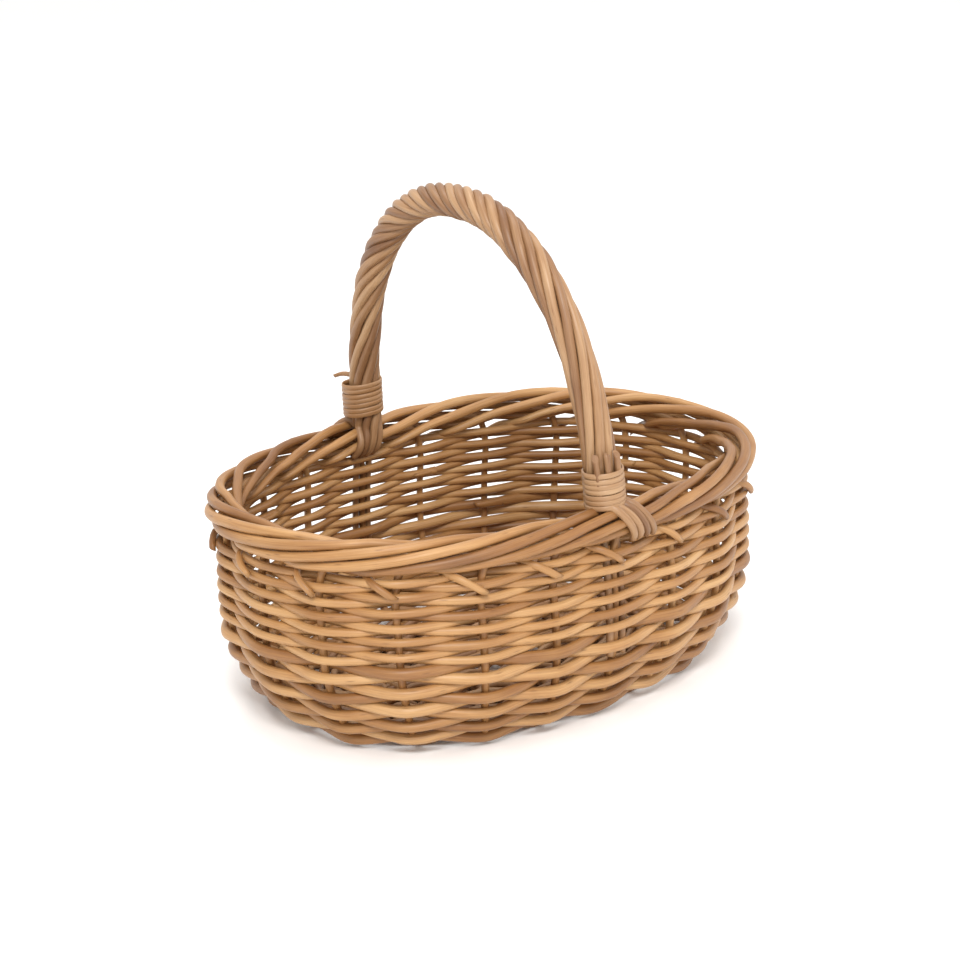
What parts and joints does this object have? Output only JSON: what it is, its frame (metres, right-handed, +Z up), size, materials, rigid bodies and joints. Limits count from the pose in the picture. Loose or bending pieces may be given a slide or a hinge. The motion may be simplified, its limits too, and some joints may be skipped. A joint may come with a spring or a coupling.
{
  "type": "woven market basket",
  "caption": "Oval woven willow shopping basket with a turned-down border and a fixed rope-twisted arched handle across its short axis.",
  "frame": {"origin": "on the ground under the middle of the rim", "axes": "+X along the basket's length, +Y to the back across its width, +Z up; the handle arches over the middle from back to front"},
  "size_m": [0.4008, 0.2916, 0.3363],
  "materials": {
    "weaver_willow": "satin peeled willow",
    "stake_willow": "satin peeled willow",
    "base_willow": "matt peeled willow",
    "handle_willow": "satin peeled willow",
    "binding_willow": "satin split willow"
  },
  "bodies": {
    "root": {"base_short_sticks": "base_willow", "base_long_sticks": "base_willow", "base_weave": "base_willow", "weaver_01": "weaver_willow", "weaver_02": "weaver_willow", "weaver_03": "weaver_willow", "weaver_04": "weaver_willow", "weaver_05": "weaver_willow", "weaver_06": "weaver_willow", "weaver_07": "weaver_willow", "weaver_08": "weaver_willow", "weaver_09": "weaver_willow", "weaver_10": "weaver_willow", "weaver_11": "weaver_willow", "weaver_12": "weaver_willow", "weaver_13": "weaver_willow", "weaver_14": "weaver_willow", "weaver_15": "weaver_willow", "weaver_16": "weaver_willow", "weaver_17": "weaver_willow", "weaver_18": "weaver_willow", "weaver_19": "weaver_willow", "weaver_20": "weaver_willow", "weaver_21": "weaver_willow", "weaver_22": "weaver_willow", "stake_01": "stake_willow", "stake_02": "stake_willow", "stake_03": "stake_willow", "stake_04": "stake_willow", "stake_05": "stake_willow", "stake_06": "stake_willow", "stake_07": "stake_willow", "stake_08": "stake_willow", "stake_09": "stake_willow", "stake_10": "stake_willow", "stake_11": "stake_willow", "stake_12": "stake_willow", "stake_13": "stake_willow", "stake_14": "stake_willow", "stake_15": "stake_willow", "stake_16": "stake_willow", "stake_17": "stake_willow", "stake_18": "stake_willow", "stake_19": "stake_willow", "stake_20": "stake_willow", "handle_bow": "handle_willow", "handle_wrap_01": "handle_willow", "handle_wrap_02": "handle_willow", "handle_wrap_03": "handle_willow", "handle_wrap_04": "handle_willow", "handle_wrap_05": "handle_willow", "handle_wrap_06": "handle_willow", "handle_wrap_07": "handle_willow", "handle_wrap_08": "handle_willow", "handle_binding_front": "binding_willow", "handle_binding_back": "binding_willow", "handle_cut_ends": "handle_willow"}
  },
  "joints": []
}
